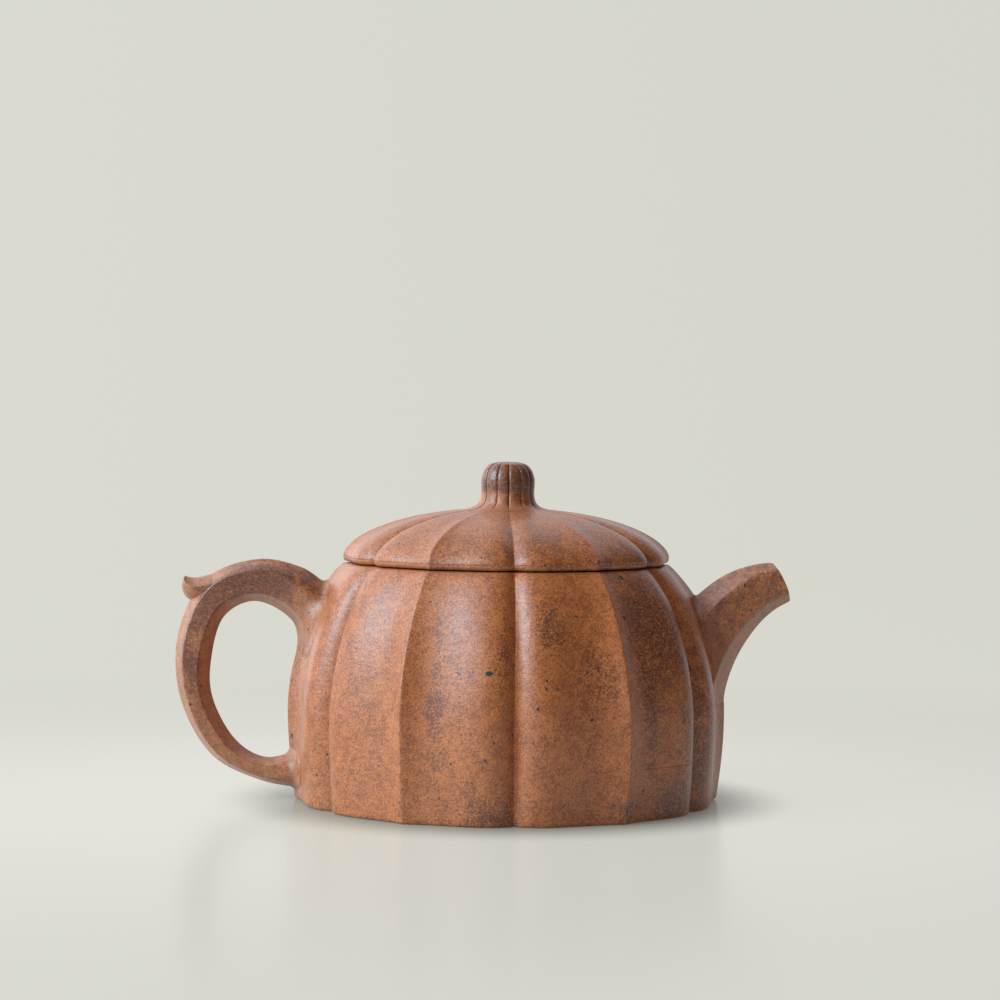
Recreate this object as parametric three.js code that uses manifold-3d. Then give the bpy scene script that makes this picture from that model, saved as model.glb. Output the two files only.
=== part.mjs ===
// A six-petalled clay teapot with a pressed-on lid. Millimetres, +Z up, spout along +X, handle along -X.
// The origin is the centre of the foot, on the axis of the pot.
import * as THREE from "three";
import { mergeVertices } from "three/addons/utils/BufferGeometryUtils.js";
import Module from "manifold-3d";

const wasm = await Module();
wasm.setup();

// ---- driving dimensions ------------------------------------------------------------------------

const GAP = 0.3; // the slip joint left between two clay pieces
const WALL = 3.0; // clay thickness of the body
const PETALS = 6;
const STEPS_PER_HALF_PETAL = 5;
const STEP_CROWDING = 1.45; // draws the steps of a half petal towards its groove
const GROOVE_SHARPNESS = 8;
const FLANK_BIAS = 2.4; // places the hollow flank nearer to the ridge than to the groove

// body
const FOOT_RADIUS = 51.5; // on the ridges, as are the other body radii
const BELLY_RADIUS = 53.3;
const BELLY_HEIGHT = 21.8;
const RIM_RADIUS = 39.9;
const RIM_HEIGHT = 58.0;
const FLUTE_FOOT = 3.4; // depth of a groove below the ridges, at the foot
const FLUTE_RIM_LOSS = 0.5; // how much shallower the grooves are at the rim
const FLUTE_BELLY_GAIN = 1.7; // how much deeper they are at half height
const FLANK_FOOT = 0.42; // depth of the hollow flank as a share of the groove's
const FLANK_BELLY_GAIN = 0.2;
const BASE_THICKNESS = 3.0;
const MOUTH_RADIUS = 32.5;
const MOUTH_RING_THICKNESS = 3.0;

// lid
const SEAM = 0.3;
const PLATE_THICKNESS = 1.2;
const PLATE_EDGE_RADIUS = 39.4;
const PLATE_TOP_RADIUS = 40.0;
const DOME_RADIUS = 40.1;
const DOME_RISE = 11.4;
const DOME_INNER_RADIUS = 34.2;
const DOME_INNER_RISE = 8.8;
const DOME_FLUTE = 2.9;
const DOME_STEPS = 9;
const DOME_INNER_STEPS = 6;
const LID_LAP = 0.01; // lets a cutting tool reach past the face that it opens
const FLANGE_CLEARANCE = 0.4;
const FLANGE_WALL = 2.7;
const FLANGE_DROP = 6.8;
const FLANGE_CHAMFER = 0.6;
const FLANGE_SIDES = 40;
const AIR_HOLE_RADIUS = 0.9;
const AIR_HOLE_SIDES = 10;

// knob
const COLLAR_RADIUS = 8.8;
const COLLAR_HEIGHT = 1.8;
const COLLAR_SIDES = 36;
const KNOB_WAIST_RADIUS = 6.4;
const KNOB_RADIUS = 6.65;
const KNOB_TOP = 82.9;
const KNOB_LOBES = 12;
const KNOB_NOTCH = 0.55;
const KNOB_SIDES = 48;

// spout and handle: each is lofted between an outer and an inner edge in the plane y = 0,
// the spout from its tip to its root, the handle from its upper root to its lower one
const SPOUT_UPPER = [[65.1, 58.7], [58.5, 59.6], [47.0, 52.0], [39.5, 47.5]];
const SPOUT_LOWER = [[69.7, 49.3], [58.5, 43.5], [53.4, 33.0], [52.4, 19.0]];
const SPOUT_HALF_WIDTH_TIP = 5.0;
const SPOUT_HALF_WIDTH_ROOT = 7.6;
const SPOUT_SHOULDERS = [0.6, -0.44];
const SPOUT_STEPS = 12;
const SPOUT_WALL_ROOT = 4.0;
const SPOUT_WALL_TIP = 1.1;
const SPOUT_TIP_AXIS = [9.4, 4.6];
const BORE_RUN_OUT = 2.0; // how far the bore runs past the tip
const BORE_RUN_OUT_REACH = 4.0; // how far behind the tip it starts to stretch
const HANDLE_OUTER = [
  [-43.0, 51.5], [-50.0, 56.2], [-61.5, 58.6], [-74.0, 53.6], [-80.6, 40.0],
  [-79.6, 24.3], [-72.0, 10.6], [-60.0, 4.3], [-48.5, 2.2],
];
const HANDLE_INNER = [
  [-48.5, 32.0], [-52.2, 43.0], [-61.0, 48.3], [-69.6, 44.6], [-73.0, 33.5],
  [-72.2, 24.0], [-66.4, 13.8], [-58.6, 9.9], [-48.5, 13.0],
];
const HANDLE_HALF_WIDTHS = [6.4, 5.4, 4.7, 4.5, 4.2, 4.1, 4.0, 4.1, 4.8];
const HANDLE_SHOULDERS = [0.56, -0.42];
const HANDLE_STEPS = 34;
const SECTION_SIDES = 12;

// thumb curl on the shoulder of the handle
const CURL_UPPER = [[-69.0, 54.4], [-74.0, 52.6], [-76.6, 53.0], [-78.2, 54.5]];
const CURL_LOWER = [[-71.0, 47.5], [-76.5, 45.0], [-80.9, 47.6], [-79.4, 53.8]];
const CURL_HALF_WIDTH = 4.2;
const CURL_TIP_HALF_WIDTH = 2.2;
const CURL_SHOULDERS = [0.8, -0.4];
const CURL_STEPS = 7;

// pour hole in the wall, and the ball strainer behind it
const POUR_HOLE_RADIUS = 5.6;
const POUR_HOLE_HEIGHT = 38.5;
const POUR_HOLE_SIDES = 20;
const STRAINER_RADIUS = 9.0;
const STRAINER_WALL = 1.8;
const STRAINER_HOLE_RADIUS = 1.15;
const STRAINER_RINGS = [
  { count: 1, tilt: 0 },
  { count: 6, tilt: 32 },
  { count: 6, tilt: 62 },
];

// ---- sizes that follow -------------------------------------------------------------------------

const FLUTED_SIDES = PETALS * 2 * STEPS_PER_HALF_PETAL;
const PLATE_BOTTOM = RIM_HEIGHT + SEAM;
const DOME_BOTTOM = PLATE_BOTTOM + PLATE_THICKNESS + GAP;
const DOME_TOP = DOME_BOTTOM + DOME_RISE;
const FLANGE_RADIUS = MOUTH_RADIUS - FLANGE_CLEARANCE;
const COLLAR_BOTTOM = DOME_TOP + GAP;

// ---- materials ---------------------------------------------------------------------------------

const redClay = new THREE.MeshStandardMaterial({ color: 0xa5643f, roughness: 0.55, metalness: 0 });
const darkClay = new THREE.MeshStandardMaterial({ color: 0x7d5343, roughness: 0.5, metalness: 0 });

// ---- solids ------------------------------------------------------------------------------------

function toSolid(geometry) {
  const bare = geometry.clone();
  bare.deleteAttribute("normal");
  bare.deleteAttribute("uv");
  const merged = mergeVertices(bare, 1e-3);
  const mesh = new wasm.Mesh({
    numProp: 3,
    vertProperties: merged.getAttribute("position").array,
    triVerts: new Uint32Array(merged.index.array),
  });
  return new wasm.Manifold(mesh);
}

function toGeometry(solid) {
  const mesh = solid.getMesh();
  const geometry = new THREE.BufferGeometry();
  geometry.setAttribute("position", new THREE.BufferAttribute(mesh.vertProperties, 3));
  geometry.setIndex(new THREE.BufferAttribute(mesh.triVerts, 1));
  return geometry;
}

function cut(geometry, ...tools) {
  let solid = toSolid(geometry);
  for (const tool of tools) {
    solid = solid.subtract(toSolid(tool));
  }
  return toGeometry(solid);
}

function common(geometry, tool) {
  return toGeometry(toSolid(geometry).intersect(toSolid(tool)));
}

function turned(profile, sides) {
  const points = profile.map(([radius, height]) => new THREE.Vector2(radius, height));
  return new THREE.LatheGeometry(points, sides).rotateX(Math.PI / 2);
}

function closedRing(profile, sides) {
  return turned([...profile, profile[0]], sides);
}

function moveEach(geometry, move) {
  const position = geometry.getAttribute("position");
  const point = new THREE.Vector3();
  for (let i = 0; i < position.count; i += 1) {
    point.fromBufferAttribute(position, i);
    move(point);
    position.setXYZ(i, point.x, point.y, point.z);
  }
  return geometry;
}

// ---- petals ------------------------------------------------------------------------------------

// Share of the groove's depth at a place in the half petal, from 0 at the groove to 1 at the ridge:
// a narrow groove, a round lobe beside it, then a hollow flank that rises to a sharp ridge.
function petalSection(place, flank) {
  const groove = (1 - place) ** GROOVE_SHARPNESS;
  const peak = FLANK_BIAS / (FLANK_BIAS + 1);
  const highest = peak ** FLANK_BIAS * (1 - peak);
  return groove + (flank * place ** FLANK_BIAS * (1 - place)) / highest;
}

// Sinks a turned shape below its ridges. sinkAt gives the full groove's movement at a point.
function flute(geometry, sinkAt) {
  const petal = (2 * Math.PI) / PETALS;
  return moveEach(geometry, (point) => {
    const radius = Math.hypot(point.x, point.y);
    const turns = Math.atan2(point.x, -point.y) / petal;
    const groove = Math.round(turns);
    const side = Math.sign(turns - groove);
    const place = Math.min(1, Math.abs(turns - groove) * 2) ** STEP_CROWDING;
    const angle = (groove + (side * place) / 2) * petal;
    const { inward, down, flank } = sinkAt(radius, point.z);
    const share = petalSection(place, flank);
    const sunk = radius - inward * share;
    point.set(sunk * Math.sin(angle), -sunk * Math.cos(angle), point.z - down * share);
  });
}

function bodySink(radius, height) {
  const swell = Math.sin((Math.PI * height) / RIM_HEIGHT);
  const inward = FLUTE_FOOT - (FLUTE_RIM_LOSS * height) / RIM_HEIGHT + FLUTE_BELLY_GAIN * swell;
  return { inward: radius > 0 ? inward : 0, down: 0, flank: FLANK_FOOT + FLANK_BELLY_GAIN * swell };
}

function domeSink(radius, height) {
  const share = radius / DOME_RADIUS;
  const rise = Math.sqrt(Math.max(0, 1 - share * share));
  const normal = new THREE.Vector2(share / DOME_RADIUS, rise / DOME_RISE).normalize();
  const depth = DOME_FLUTE * share * share;
  const onTop = height > DOME_BOTTOM;
  return { inward: onTop ? depth * normal.x : depth, down: onTop ? depth * normal.y : 0, flank: FLANK_FOOT };
}

// ---- body --------------------------------------------------------------------------------------

const ridgeLine = new THREE.CurvePath();
ridgeLine.add(new THREE.CubicBezierCurve(
  new THREE.Vector2(FOOT_RADIUS, 0),
  new THREE.Vector2(FOOT_RADIUS + 1, 8),
  new THREE.Vector2(BELLY_RADIUS, BELLY_HEIGHT - 8),
  new THREE.Vector2(BELLY_RADIUS, BELLY_HEIGHT),
));
ridgeLine.add(new THREE.CubicBezierCurve(
  new THREE.Vector2(BELLY_RADIUS, BELLY_HEIGHT),
  new THREE.Vector2(BELLY_RADIUS, BELLY_HEIGHT + 16.5),
  new THREE.Vector2(RIM_RADIUS + 3, RIM_HEIGHT - 3),
  new THREE.Vector2(RIM_RADIUS, RIM_HEIGHT),
));

function ridgePoints(offset) {
  const [lower, upper] = ridgeLine.curves;
  const points = [...lower.getPoints(3), ...upper.getPoints(8).slice(1)];
  return points.map((point) => [point.x + offset, point.y]);
}

function ridgeRadius(height) {
  const points = ridgePoints(0);
  const next = points.findIndex((point) => point[1] >= height);
  const [low, high] = [points[Math.max(0, next - 1)], points[Math.max(1, next)]];
  const share = (height - low[1]) / (high[1] - low[1]);
  return low[0] + share * (high[0] - low[0]);
}

// The body's outer form as one solid, grown by an offset, for cutting what is luted onto it.
function bodySolid(offset) {
  const side = ridgePoints(offset);
  return flute(turned([[0, 0], ...side, [0, RIM_HEIGHT]], FLUTED_SIDES), bodySink);
}

function pourHole() {
  const length = 4 * WALL;
  return new THREE.CylinderGeometry(POUR_HOLE_RADIUS, POUR_HOLE_RADIUS, length, POUR_HOLE_SIDES)
    .rotateZ(Math.PI / 2)
    .translate(ridgeRadius(POUR_HOLE_HEIGHT) - WALL, 0, POUR_HOLE_HEIGHT);
}

function bodyWall() {
  const profile = [...ridgePoints(0), ...ridgePoints(-WALL).reverse()];
  return cut(flute(closedRing(profile, FLUTED_SIDES), bodySink), pourHole());
}

function basePlate() {
  const profile = [[0, 0], insideEdge(0), insideEdge(BASE_THICKNESS), [0, BASE_THICKNESS]];
  return flute(turned(profile, FLUTED_SIDES), bodySink);
}

function insideEdge(height) {
  return [ridgeRadius(height) - WALL - GAP, height];
}

function roundHole(radius) {
  return new THREE.CylinderGeometry(radius, radius, 4 * MOUTH_RING_THICKNESS, FLANGE_SIDES)
    .rotateX(Math.PI / 2)
    .translate(0, 0, RIM_HEIGHT);
}

function mouthRing() {
  const bottom = RIM_HEIGHT - MOUTH_RING_THICKNESS;
  const edge = [bottom, (bottom + RIM_HEIGHT) / 2, RIM_HEIGHT].map(insideEdge);
  const blank = turned([[0, bottom], ...edge, [0, RIM_HEIGHT]], FLUTED_SIDES);
  return cut(flute(blank, bodySink), roundHole(MOUTH_RADIUS));
}

// ---- lid ---------------------------------------------------------------------------------------

function dome(radius, rise, steps, sides) {
  const profile = [[0, DOME_BOTTOM]];
  for (let i = 0; i <= steps; i += 1) {
    const tilt = (Math.PI / 2) * (1 - i / steps);
    profile.push([i === steps ? 0 : radius * Math.sin(tilt), DOME_BOTTOM + rise * Math.cos(tilt)]);
  }
  return turned(profile, sides);
}

function airHole() {
  return new THREE.CylinderGeometry(AIR_HOLE_RADIUS, AIR_HOLE_RADIUS, 4 * DOME_RISE, AIR_HOLE_SIDES)
    .rotateX(Math.PI / 2)
    .translate(0, 0, DOME_TOP);
}

function lidDome() {
  const outer = flute(dome(DOME_RADIUS, DOME_RISE, DOME_STEPS, FLUTED_SIDES), domeSink);
  const inner = dome(DOME_INNER_RADIUS, DOME_INNER_RISE, DOME_INNER_STEPS, FLANGE_SIDES)
    .translate(0, 0, -LID_LAP);
  return cut(outer, inner, airHole());
}

function lidRimPlate() {
  const top = PLATE_BOTTOM + PLATE_THICKNESS;
  const edge = [[PLATE_EDGE_RADIUS, PLATE_BOTTOM], [PLATE_TOP_RADIUS, top]];
  const blank = turned([[0, PLATE_BOTTOM], ...edge, [0, top]], FLUTED_SIDES);
  return cut(flute(blank, domeSink), roundHole(FLANGE_RADIUS + GAP));
}

function lidFlange() {
  const inner = FLANGE_RADIUS - FLANGE_WALL;
  const underDome = (radius) =>
    DOME_BOTTOM + DOME_INNER_RISE * Math.sqrt(1 - (radius / DOME_INNER_RADIUS) ** 2) - 2 * GAP;
  const bottom = RIM_HEIGHT - FLANGE_DROP;
  const profile = [
    [FLANGE_RADIUS - FLANGE_CHAMFER, bottom],
    [FLANGE_RADIUS, bottom + FLANGE_CHAMFER],
    [FLANGE_RADIUS, underDome(FLANGE_RADIUS)],
    [inner, underDome(inner)],
    [inner, bottom],
  ];
  return closedRing(profile, FLANGE_SIDES);
}

// ---- knob --------------------------------------------------------------------------------------

function knobCollar() {
  const top = COLLAR_BOTTOM + COLLAR_HEIGHT;
  const profile = [
    [AIR_HOLE_RADIUS, COLLAR_BOTTOM],
    [COLLAR_RADIUS, COLLAR_BOTTOM],
    [COLLAR_RADIUS - 1.5, COLLAR_BOTTOM + COLLAR_HEIGHT * 0.35],
    [KNOB_WAIST_RADIUS + 0.1, top],
    [AIR_HOLE_RADIUS, top],
  ];
  return closedRing(profile, COLLAR_SIDES);
}

function knob() {
  const bottom = COLLAR_BOTTOM + COLLAR_HEIGHT + GAP;
  const profile = [
    [AIR_HOLE_RADIUS, bottom],
    [KNOB_WAIST_RADIUS, bottom],
    [KNOB_RADIUS, KNOB_TOP - 5.5],
    [KNOB_RADIUS, KNOB_TOP - 3.4],
    [KNOB_RADIUS - 0.5, KNOB_TOP - 1.9],
    [KNOB_RADIUS - 1.9, KNOB_TOP - 0.6],
    [KNOB_RADIUS - 4.0, KNOB_TOP],
    [AIR_HOLE_RADIUS, KNOB_TOP],
  ];
  return moveEach(closedRing(profile, KNOB_SIDES), (point) => {
    const radius = Math.hypot(point.x, point.y);
    if (radius < AIR_HOLE_RADIUS + 0.1) {
      return;
    }
    const turns = (Math.atan2(point.x, -point.y) * KNOB_LOBES) / (2 * Math.PI);
    const off = Math.abs(turns - Math.round(turns)) * 2;
    const deep = Math.round(turns) % 2 === 0 ? 1 : 0.6;
    const keep = 1 - (deep * KNOB_NOTCH * (1 - off) ** 2) / KNOB_RADIUS;
    point.x *= keep;
    point.y *= keep;
  });
}

// ---- spout, handle and curl --------------------------------------------------------------------

// A point on a six-sided section: ridge, two shoulders, keel, two shoulders. Width is along Y.
function sectionPoint(turn, shoulders) {
  const [high, low] = shoulders;
  const corners = [[0, 1], [1, high], [1, low], [0, -1], [-1, low], [-1, high], [0, 1]];
  const place = (((turn % 1) + 1) % 1) * 6;
  const corner = Math.min(5, Math.floor(place + 1e-6));
  const share = place - corner;
  const [a, b] = [corners[corner], corners[corner + 1]];
  return [a[0] + share * (b[0] - a[0]), a[1] + share * (b[1] - a[1])];
}

// A closed loft between two edges in the plane y = 0. inset draws every side of it inwards.
function loft({ outer, inner, halfWidth, shoulders, steps, inset }) {
  const blank = new THREE.CylinderGeometry(1, 1, 1, SECTION_SIDES, steps);
  const [top, foot] = [new THREE.Vector2(), new THREE.Vector2()];
  return moveEach(blank, (point) => {
    const along = point.y + 0.5;
    const reach = Math.hypot(point.x, point.z);
    const [across, up] = sectionPoint(Math.atan2(point.x, point.z) / (2 * Math.PI), shoulders);
    outer.getPoint(along, top);
    inner.getPoint(along, foot);
    const half = top.distanceTo(foot) / 2;
    const grown = 1 - inset(along) / half;
    const middle = top.clone().add(foot).multiplyScalar(0.5);
    const rise = top.clone().sub(middle).multiplyScalar(up * grown * reach);
    point.set(middle.x + rise.x, across * reach * (halfWidth(along) - inset(along)), middle.y + rise.y);
  });
}

function bezier(points) {
  return new THREE.CubicBezierCurve(...points.map(([x, z]) => new THREE.Vector2(x, z)));
}

function spline(points) {
  return new THREE.SplineCurve(points.map(([x, z]) => new THREE.Vector2(x, z)));
}

function spoutLoft(inset) {
  return loft({
    outer: bezier(SPOUT_UPPER),
    inner: bezier(SPOUT_LOWER),
    halfWidth: (along) => THREE.MathUtils.lerp(SPOUT_HALF_WIDTH_TIP, SPOUT_HALF_WIDTH_ROOT, along ** 1.2),
    shoulders: SPOUT_SHOULDERS,
    steps: SPOUT_STEPS,
    inset,
  });
}

// The bore is the same loft drawn in, run a little past the tip so that it opens there.
function spoutBore() {
  const bore = spoutLoft((along) => THREE.MathUtils.lerp(SPOUT_WALL_TIP, SPOUT_WALL_ROOT, along));
  const axis = new THREE.Vector2(...SPOUT_TIP_AXIS).normalize();
  const tip = new THREE.Vector2(...SPOUT_UPPER[0]).lerp(new THREE.Vector2(...SPOUT_LOWER[0]), 0.5);
  return moveEach(bore, (point) => {
    const behind = new THREE.Vector2(tip.x - point.x, tip.y - point.z).dot(axis);
    const beyond = BORE_RUN_OUT * Math.max(0, 1 - behind / BORE_RUN_OUT_REACH);
    point.x += axis.x * beyond;
    point.z += axis.y * beyond;
  });
}

function spout() {
  return cut(spoutLoft(() => 0), bodySolid(GAP), spoutBore());
}

function halfWidthAlong(widths) {
  const last = widths.length - 1;
  return (along) => {
    const place = Math.min(last - 1e-9, along * last);
    const index = Math.floor(place);
    return THREE.MathUtils.lerp(widths[index], widths[index + 1], place - index);
  };
}

function handleLoft(grow) {
  return loft({
    outer: spline(HANDLE_OUTER),
    inner: spline(HANDLE_INNER),
    halfWidth: halfWidthAlong(HANDLE_HALF_WIDTHS),
    shoulders: HANDLE_SHOULDERS,
    steps: HANDLE_STEPS,
    inset: () => -grow,
  });
}

function handle() {
  return cut(handleLoft(0), bodySolid(GAP));
}

function thumbCurl() {
  const blank = loft({
    outer: bezier(CURL_UPPER),
    inner: bezier(CURL_LOWER),
    halfWidth: (along) => THREE.MathUtils.lerp(CURL_HALF_WIDTH, CURL_TIP_HALF_WIDTH, along ** 3),
    shoulders: CURL_SHOULDERS,
    steps: CURL_STEPS,
    inset: () => 0,
  });
  return cut(blank, handleLoft(GAP));
}

// ---- strainer ----------------------------------------------------------------------------------

function strainerHoles() {
  const tools = [];
  for (const { count, tilt } of STRAINER_RINGS) {
    for (let i = 0; i < count; i += 1) {
      const hole = new THREE.CylinderGeometry(STRAINER_HOLE_RADIUS, STRAINER_HOLE_RADIUS, STRAINER_RADIUS, 8)
        .translate(0, STRAINER_RADIUS, 0)
        .rotateX(THREE.MathUtils.degToRad(tilt))
        .rotateY((2 * Math.PI * i) / count)
        .rotateZ(Math.PI / 2);
      tools.push(hole);
    }
  }
  return tools;
}

function strainer() {
  const centre = ridgeRadius(POUR_HOLE_HEIGHT) - WALL;
  const shell = cut(
    new THREE.SphereGeometry(STRAINER_RADIUS, 24, 14),
    new THREE.SphereGeometry(STRAINER_RADIUS - STRAINER_WALL, 24, 14),
    ...strainerHoles(),
  ).translate(centre, 0, POUR_HOLE_HEIGHT);
  return common(shell, bodySolid(-WALL - GAP));
}

// ---- assembly ----------------------------------------------------------------------------------

function piece(name, geometry, material) {
  const mesh = new THREE.Mesh(geometry, material);
  mesh.name = name;
  return mesh;
}

const pot = new THREE.Group();
pot.add(
  piece("body_wall", bodyWall(), redClay),
  piece("base_plate", basePlate(), redClay),
  piece("mouth_ring", mouthRing(), redClay),
  piece("spout", spout(), redClay),
  piece("strainer", strainer(), redClay),
  piece("handle", handle(), darkClay),
  piece("handle_thumb_curl", thumbCurl(), darkClay),
);

const lid = new THREE.Group();
lid.add(
  piece("lid_dome", lidDome(), redClay),
  piece("lid_rim_plate", lidRimPlate(), redClay),
  piece("lid_flange", lidFlange(), redClay),
  piece("knob_collar", knobCollar(), darkClay),
  piece("knob", knob(), darkClay),
);

const teapot = new THREE.Group();
teapot.add(pot, lid);

export default teapot;
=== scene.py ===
"""A six-petalled unglazed clay teapot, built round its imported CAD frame.

Blender works in metres, and the lengths in this script are millimetres in the frame's own axes:
+X the spout, -Y the front, +Z up, the origin at the centre of the foot. Angles go round the pot from
the front to the spout.
"""
import math

import bmesh
import bpy
import numpy as np
from mathutils import Euler, Matrix, Vector


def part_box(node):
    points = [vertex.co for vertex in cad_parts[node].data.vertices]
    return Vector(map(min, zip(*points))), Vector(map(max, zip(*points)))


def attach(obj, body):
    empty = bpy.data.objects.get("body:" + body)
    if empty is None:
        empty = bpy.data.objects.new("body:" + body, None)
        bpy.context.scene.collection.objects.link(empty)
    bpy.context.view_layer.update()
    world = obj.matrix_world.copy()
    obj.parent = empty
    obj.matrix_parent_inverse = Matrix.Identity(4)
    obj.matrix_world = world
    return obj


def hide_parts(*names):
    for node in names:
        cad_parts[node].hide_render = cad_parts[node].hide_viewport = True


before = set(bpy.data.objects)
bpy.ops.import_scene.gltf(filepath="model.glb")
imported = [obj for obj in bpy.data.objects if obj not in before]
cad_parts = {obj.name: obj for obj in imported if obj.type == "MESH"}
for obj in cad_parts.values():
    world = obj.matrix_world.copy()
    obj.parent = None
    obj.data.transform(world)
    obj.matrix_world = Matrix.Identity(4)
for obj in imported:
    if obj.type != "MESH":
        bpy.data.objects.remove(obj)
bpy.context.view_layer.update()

MM = 0.001


def node_box(node):
    """Lowest and highest corner of a CAD node, in millimetres."""
    low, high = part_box(node)
    return np.array(low) / MM, np.array(high) / MM


# ---- sizes ---------------------------------------------------------------------------------------

WALL = 3.0
BELLY_RADIUS = node_box("body_wall")[1][0]
RIM_HEIGHT = node_box("body_wall")[1][2]
BELLY_HEIGHT = 21.8
FOOT_RADIUS = BELLY_RADIUS - 1.8
BASE_TOP = node_box("base_plate")[1][2]
RING_BOTTOM = node_box("mouth_ring")[0][2]

DOME_RADIUS = node_box("lid_dome")[1][0]
RIM_RADIUS = DOME_RADIUS - 0.2
DOME_BASE = node_box("lid_dome")[0][2]
DOME_RISE = node_box("lid_dome")[1][2] - DOME_BASE
DOME_INNER_RADIUS = 34.2
DOME_INNER_RISE = 8.8
PLATE_BOTTOM = node_box("lid_rim_plate")[0][2]
PLATE_TOP = DOME_BASE - 0.3
FLANGE_RADIUS = node_box("lid_flange")[1][0]
FLANGE_BOTTOM = node_box("lid_flange")[0][2]
FLANGE_WALL = 2.7
MOUTH_RADIUS = FLANGE_RADIUS + 0.4

KNOB_BOTTOM = node_box("knob")[0][2]
KNOB_TOP = node_box("knob")[1][2]
AIR_HOLE_RADIUS = 0.9

# petals
PETALS = 6
STEPS_PER_HALF_PETAL = 22
EDGE_CROWDING = 0.86
GROOVE_SHARPNESS = 8
FLANK_BIAS = 2.4
GROOVE_SOFTNESS = 0.010
RIDGE_SOFTNESS = 0.010
FLUTE_FOOT = 3.4
FLUTE_RIM_LOSS = 0.5
FLUTE_BELLY_GAIN = 1.7
FLANK_FOOT = 0.42
FLANK_BELLY_GAIN = 0.2
DOME_FLUTE = 2.9
DOME_FLUTE_FADE = 2.8  # power of the radius by which the flutes run out towards the crown
DOME_POWERS = (2.2, 1.7)  # of radius and of height: a flatter crown and a softer shoulder than an ellipse
DOME_CROWN = 0.4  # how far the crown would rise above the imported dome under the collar
CROWN_GROOVE = 0.16  # depth that the grooves keep up to the collar

# rounding of the edges that fingers and tools have softened
FOOT_ROUNDING = 0.9
RIM_ROUNDING = 0.35
LIP_ROUNDING = 0.35

# a fine line left low on one petal: its middle, reach and fade go round the pot in degrees
SEAM_HEIGHT = 12.6
SEAM_HALF_WIDTH = 0.2
SEAM_DEPTH = 0.10
SEAM_MIDDLE = 48.0
SEAM_REACH = 17.0
SEAM_FADE = 6.0

SPOUT_SIDE_SWELL = 0.75  # how much fuller the pot is on the spout's side

# knob
KNOB_LOBES = 12
STEPS_PER_HALF_LOBE = 11
NOTCH_DEPTH = 0.62
SHALLOW_NOTCH = 0.55  # share of the depth at every second notch
NOTCH_DRIFT = [0, -1.1, -4, 0.6, 1.5, -1, 0.7, -0.8, 1, -1.2, 3, 4.6]  # degrees, from a notch's even place
# radius and depth below the knob's top
KNOB_LINE = [(2.4, 0), (4.6, 0.6), (5.95, 2.06), (6.55, 3.8), (6.65, 4.7), (6.6, 6.2),
             (6.5, 7.8), (6.75, 9.3)]
COLLAR_LINE = [(6.75, 9.3), (7.15, 10.1), (7.9, 10.8), (9.0, 11.3), (10.6, 11.72)]

# spout and handle: outer and inner edge in the plane y = 0, the spout's from its tip, the handle's from
# its upper root
SPOUT_UPPER = [(65.5, 58.9), (57.0, 58.8), (47.4, 52.9), (39.5, 44.0)]
SPOUT_LOWER = [(70.2, 48.8), (58.9, 43.6), (53.3, 32.7), (52.4, 19.0)]
SPOUT_HALF_WIDTHS = (5.0, 7.6)
SPOUT_SHOULDERS = (0.6, -0.44)
SPOUT_WALLS = (1.1, 4.0)
HANDLE_OUTER = [(-43.0, 51.8), (-50.0, 56.9), (-61.3, 58.8), (-74.0, 53.6), (-80.6, 40.0),
                (-79.6, 24.3), (-72.0, 10.6), (-60.0, 4.3), (-48.5, 2.2)]
HANDLE_INNER = [(-48.5, 32.0), (-52.0, 43.0), (-61.0, 48.2), (-69.1, 44.2), (-72.1, 33.5),
                (-71.4, 24.2), (-65.9, 14.4), (-58.2, 10.2), (-48.5, 13.0)]
HANDLE_HALF_WIDTHS = [6.4, 5.4, 4.7, 4.5, 4.2, 4.1, 4.0, 4.1, 4.8]
HANDLE_HIGH_SHOULDER = 0.51
HANDLE_LOW_SHOULDERS = [-0.42, -0.46, -0.52, -0.42, -0.31, -0.30, -0.33, -0.40, -0.42]
SPOUT_ROWS = 90
SPOUT_EASING = (1.3, 0.45)  # reach of the rounding at each corner, at the tip and at the root
SPOUT_TIP_BULGE = 0.45
SPOUT_FILLET = (0.8, 1.6, 0.8)  # reach of the fillet on the upper side, the flanks and the lower side
HANDLE_ROWS = 170
HANDLE_EASING = [0.8, 0.26, 0.24, 0.5, 0.24, 0.26]  # ridge, shoulders, keel, shoulders
HANDLE_ROOT_EASING = [0, 2.2, 2.4, 0, 2.4, 2.2]  # how much softer the shoulders run into the wall
HANDLE_UPPER_FILLET = (0.9, 4.2, 3.0)
HANDLE_LOWER_FILLET = (1.6, 2.4, 0.8)
CORNER_STEPS = 6
FLAT_SHARES = (0.06, 0.5, 0.94)

# thumb curl: its ridge, its rim and its keel in side view
CURL_RIDGE = [(-66.0, 57.2), (-71.5, 55.6), (-75.0, 52.9), (-78.6, 54.5)]
CURL_RIM = [(-66.0, 53.6), (-72.5, 52.6), (-78.4, 50.2), (-78.8, 54.3)]
CURL_KEEL = [(-69.0, 49.0), (-75.5, 46.6), (-80.8, 48.2), (-79.0, 54.2)]
CURL_HALF_WIDTH = 4.2
CURL_ROWS = 40

# pour hole and the ball strainer behind it
POUR_HOLE_RADIUS = 5.6
POUR_HOLE_HEIGHT = 38.5
STRAINER_RADIUS = 9.0
STRAINER_WALL = 1.8
STRAINER_HOLE_RADIUS = 1.15
STRAINER_RINGS = [(1, 0), (6, 32), (6, 62)]  # number of holes, tilt from the ball's axis in degrees

BURIED = 1.2  # how deep a luted piece sits in the wall


# ---- curves --------------------------------------------------------------------------------------

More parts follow.
